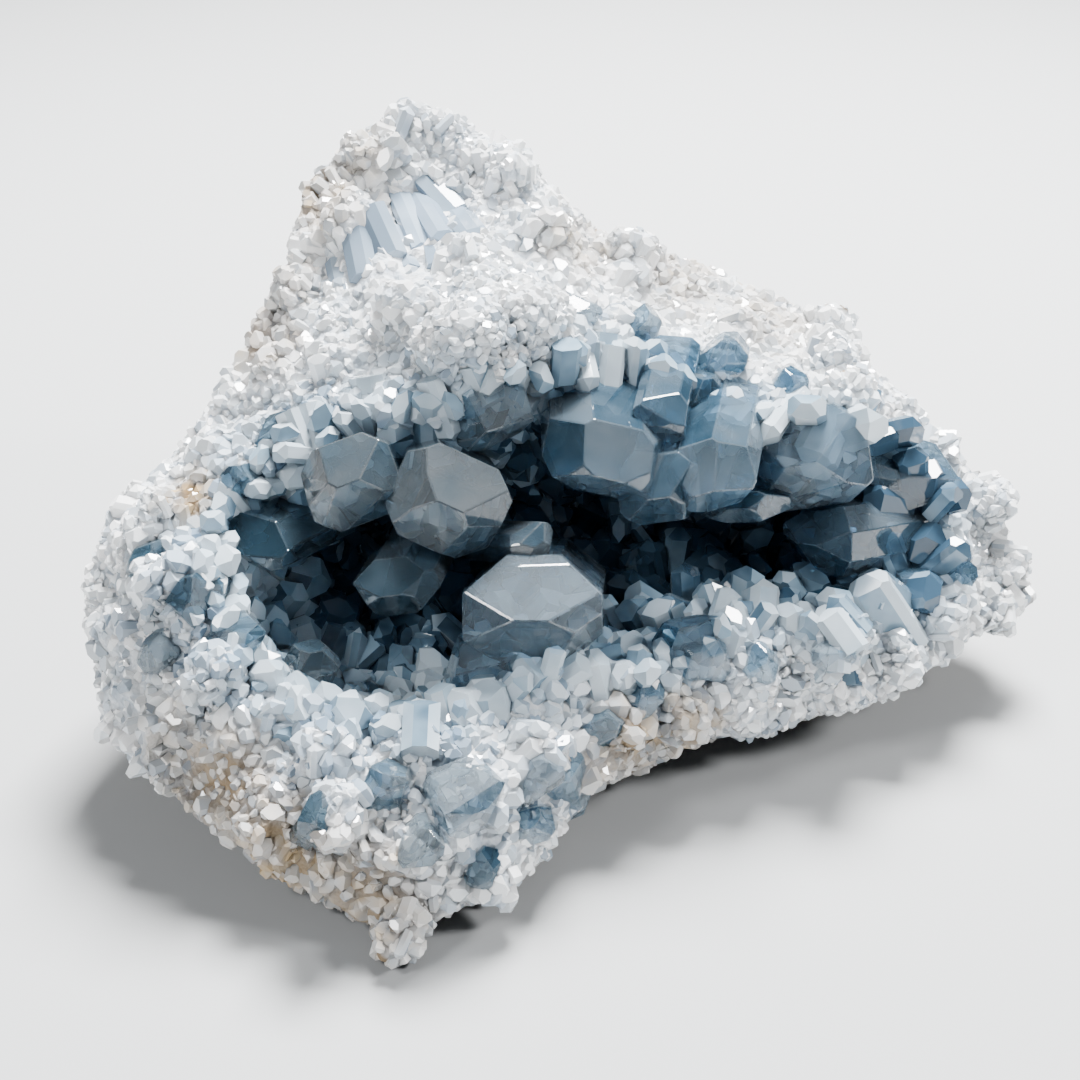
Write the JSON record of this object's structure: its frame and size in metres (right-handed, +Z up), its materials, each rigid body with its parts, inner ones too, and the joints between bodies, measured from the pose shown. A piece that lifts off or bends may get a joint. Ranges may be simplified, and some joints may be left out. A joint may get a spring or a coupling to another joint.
{
  "type": "celestite geode",
  "caption": "Broken piece of a geode: a white sugary wall, open on a hollow lined with pale blue crystals, resting on a small flat spot.",
  "frame": {"origin": "centre of the bounding box at the height of the flat spot that it rests on", "axes": "+Z up, +X to the right along the hollow, -Y the side that the hollow opens to"},
  "size_m": [0.1136, 0.0995, 0.0646],
  "materials": {
    "sugary_celestite": "sugary, translucent white crystal grains with a tan rind outside",
    "blue_celestite": "clear to milky pale blue crystal with bright flat faces"
  },
  "bodies": {
    "root": {"geode_shell": "sugary_celestite", "crystal_crust": "blue_celestite"}
  },
  "joints": []
}
